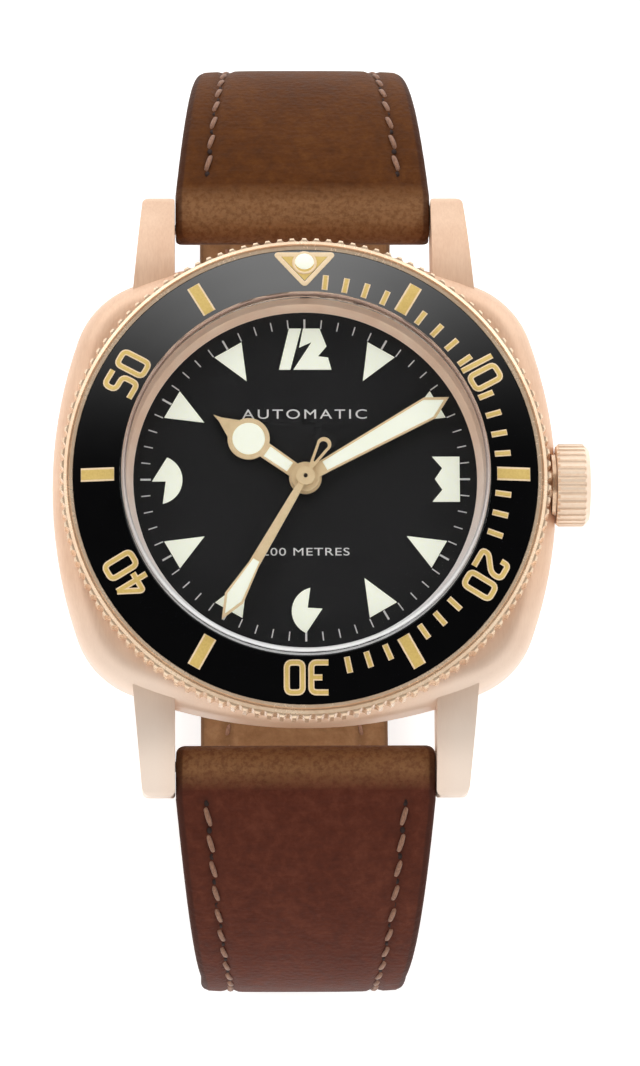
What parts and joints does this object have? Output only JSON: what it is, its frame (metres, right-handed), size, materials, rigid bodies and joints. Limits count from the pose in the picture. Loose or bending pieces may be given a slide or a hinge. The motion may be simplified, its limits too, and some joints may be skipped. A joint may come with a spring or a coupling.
{
  "type": "dive watch",
  "caption": "Automatic dive watch in rose bronze: cushion case, turning black timing bezel, domed crystal, luminous hands, knurled crown and two-piece brown leather strap.",
  "frame": {"origin": "centre of the case back's flat outer face", "axes": "+Z out of the dial through the crystal, +Y towards 12 o'clock, +X towards the crown at 3 o'clock"},
  "size_m": [0.0415, 0.0749, 0.0606],
  "materials": {
    "bronze": "satin brushed rose bronze with polished edges",
    "steel": "fine turned steel",
    "rehaut": "polished rose bronze inner ring",
    "rubber_seal": "matt nitrile rubber",
    "insert_black": "polished black with gilt inlaid marks",
    "lume": "cream luminous paint with a faint grain",
    "sapphire": "polished domed crystal",
    "dial_black": "fine matt black lacquer",
    "gilt": "polished gilt",
    "rhodium_plate": "striped and grained rhodium plating",
    "movement_brass": "circular grained gilt brass",
    "rotor_metal": "striped rotor with a heavy rim",
    "ruby": "polished synthetic ruby",
    "spacer_plastic": "moulded plastic",
    "leather_outer": "smooth dark brown leather with fine grain and tonal stitching",
    "leather_lining": "smooth tan lining leather"
  },
  "bodies": {
    "case": {"case_body": "bronze", "spring_bars": "steel", "case_back": "steel", "case_back_gasket": "rubber_seal", "bezel_click_spring": "steel", "crystal": "sapphire", "crystal_gasket": "rubber_seal", "rehaut_ring": "rehaut", "dial": "dial_black", "dial_markers": "lume", "crown_tube": "bronze", "main_plate": "rhodium_plate", "barrel_bridge": "rhodium_plate", "train_bridge": "rhodium_plate", "balance_cock": "rhodium_plate", "pallet_bridge": "rhodium_plate", "movement_screws": "steel", "jewels": "ruby", "movement_ring": "spacer_plastic", "automatic_bridge": "rhodium_plate", "rotor_bearing": "steel"},
    "bezel": {"bezel_ring": "bronze", "bezel_insert": "insert_black", "bezel_pip": "lume"},
    "minute": {"centre_wheel": "movement_brass", "cannon_pinion": "steel", "minute_hand": "gilt"},
    "hour": {"hour_wheel": "movement_brass", "hour_hand": "gilt"},
    "seconds": {"sweep_seconds_pinion": "steel", "seconds_hand": "gilt"},
    "minute_wheel": {"minute_wheel": "movement_brass"},
    "barrel": {"barrel": "movement_brass", "mainspring": "steel"},
    "third_wheel": {"third_wheel": "movement_brass"},
    "fourth_wheel": {"fourth_wheel": "movement_brass"},
    "escape_wheel": {"escape_wheel": "steel"},
    "pallet_fork": {"pallet_fork": "steel"},
    "balance": {"balance_wheel": "movement_brass", "hairspring": "steel"},
    "winding_pinions": {"winding_pinion": "steel", "sliding_pinion": "steel"},
    "crown": {"crown": "bronze", "crown_gasket": "rubber_seal", "winding_stem": "steel"},
    "crown_wheel": {"crown_wheel": "steel"},
    "ratchet": {"ratchet_wheel": "steel", "barrel_arbor": "steel"},
    "setting_lever": {"setting_lever": "steel"},
    "rotor": {"rotor": "rotor_metal"},
    "reversing_wheel": {"reversing_wheel": "rhodium_plate"},
    "strap_long": {"strap_long_upper": "leather_outer", "strap_long_lining": "leather_lining"},
    "strap_short": {"strap_short_upper": "leather_outer", "strap_short_lining": "leather_lining", "fixed_keeper": "leather_outer"},
    "free_keeper": {"free_keeper": "leather_outer"},
    "buckle": {"buckle_frame": "bronze", "buckle_bar": "bronze"},
    "tongue": {"buckle_tongue": "bronze"}
  },
  "joints": [
    {"name": "bezel_turn", "type": "hinge", "parent": "case", "child": "bezel", "pos_m": [0, 0, 0.008], "axis": [0, 0, 1], "continuous": true},
    {"name": "minute_turn", "type": "hinge", "parent": "case", "child": "minute", "pos_m": [0, 0, 0.008], "axis": [0, 0, -1], "continuous": true},
    {"name": "hour_turn", "type": "hinge", "parent": "case", "child": "hour", "pos_m": [0, 0, 0.008], "axis": [0, 0, -1], "continuous": true},
    {"name": "seconds_turn", "type": "hinge", "parent": "case", "child": "seconds", "pos_m": [0, 0, 0.008], "axis": [0, 0, -1], "continuous": true},
    {"name": "minute_wheel_turn", "type": "hinge", "parent": "case", "child": "minute_wheel", "pos_m": [-0.00203, -0.00074, 0.0072], "axis": [0, 0, -1], "continuous": true},
    {"name": "barrel_turn", "type": "hinge", "parent": "case", "child": "barrel", "pos_m": [-0.001, 0.00566, 0.0047], "axis": [0, 0, -1], "continuous": true},
    {"name": "third_wheel_turn", "type": "hinge", "parent": "case", "child": "third_wheel", "pos_m": [0.00231, -0.00276, 0.005], "axis": [0, 0, -1], "continuous": true},
    {"name": "fourth_wheel_turn", "type": "hinge", "parent": "case", "child": "fourth_wheel", "pos_m": [-0.0008, -0.00456, 0.005], "axis": [0, 0, -1], "continuous": true},
    {"name": "escape_wheel_turn", "type": "hinge", "parent": "case", "child": "escape_wheel", "pos_m": [-0.00443, -0.00487, 0.005], "axis": [0, 0, -1], "continuous": true},
    {"name": "pallet_fork_rock", "type": "hinge", "parent": "case", "child": "pallet_fork", "pos_m": [-0.00605, -0.00324, 0.0055], "axis": [0, 0, 1], "range_deg": [-6, 6]},
    {"name": "balance_swing", "type": "hinge", "parent": "case", "child": "balance", "pos_m": [-0.00788, -0.00139, 0.005], "axis": [0, 0, 1], "range_deg": [-270, 270], "stiffness_Nm_per_rad": 0.00000035},
    {"name": "crown_turn", "type": "hinge", "parent": "case", "child": "winding_pinions", "pos_m": [0.008, 0, 0.0058], "axis": [1, 0, 0], "continuous": true},
    {"name": "crown_pull", "type": "slide", "parent": "winding_pinions", "child": "crown", "axis": [1, 0, 0], "range_m": [0, 0.0016]},
    {"name": "crown_wheel_turn", "type": "hinge", "parent": "case", "child": "crown_wheel", "pos_m": [0.005, 0, 0.0038], "axis": [0, 0, 1], "continuous": true},
    {"name": "ratchet_turn", "type": "hinge", "parent": "case", "child": "ratchet", "pos_m": [-0.001, 0.00566, 0.003], "axis": [0, 0, 1], "continuous": true},
    {"name": "setting_lever_swing", "type": "hinge", "parent": "case", "child": "setting_lever", "pos_m": [0.00905, 0.0055, 0.007], "axis": [0, 0, 1], "range_deg": [0, 20]},
    {"name": "rotor_spin", "type": "hinge", "parent": "case", "child": "rotor", "pos_m": [0, 0, 0.0016], "axis": [0, 0, 1], "continuous": true},
    {"name": "reversing_wheel_turn", "type": "hinge", "parent": "case", "child": "reversing_wheel", "pos_m": [-0.00254, -0.00118, 0.002], "axis": [0, 0, 1], "continuous": true},
    {"name": "strap_long_swing", "type": "hinge", "parent": "case", "child": "strap_long", "pos_m": [0, -0.0214, 0.0024], "axis": [-1, 0, 0], "range_deg": [0, 70]},
    {"name": "strap_short_swing", "type": "hinge", "parent": "case", "child": "strap_short", "pos_m": [0, 0.0214, 0.0024], "axis": [1, 0, 0], "range_deg": [0, 60]},
    {"name": "free_keeper_slide", "type": "slide", "parent": "strap_short", "child": "free_keeper", "axis": [0, 1, 0], "range_m": [-0.0025, 0.004]},
    {"name": "buckle_swing", "type": "hinge", "parent": "strap_short", "child": "buckle", "pos_m": [0, 0.00187, -0.03396], "axis": [1, 0, 0], "range_deg": [-50, 25]},
    {"name": "tongue_swing", "type": "hinge", "parent": "buckle", "child": "tongue", "pos_m": [0, 0.00187, -0.03396], "axis": [1, 0, 0], "range_deg": [0, 40]}
  ],
  "couplings": [
    {"joint": "hour_turn", "follows": "minute_turn", "ratio": 0.083333},
    {"joint": "seconds_turn", "follows": "minute_turn", "ratio": 60},
    {"joint": "minute_wheel_turn", "follows": "minute_turn", "ratio": -0.33333},
    {"joint": "barrel_turn", "follows": "minute_turn", "ratio": -0.16667},
    {"joint": "third_wheel_turn", "follows": "minute_turn", "ratio": -8},
    {"joint": "fourth_wheel_turn", "follows": "minute_turn", "ratio": 60},
    {"joint": "escape_wheel_turn", "follows": "minute_turn", "ratio": -720},
    {"joint": "crown_wheel_turn", "follows": "crown_turn", "ratio": 0.4},
    {"joint": "ratchet_turn", "follows": "crown_turn", "ratio": -0.33333},
    {"joint": "setting_lever_swing", "follows": "crown_pull", "rad_per_m": 208.8},
    {"joint": "reversing_wheel_turn", "follows": "rotor_spin", "ratio": -0.86667}
  ]
}
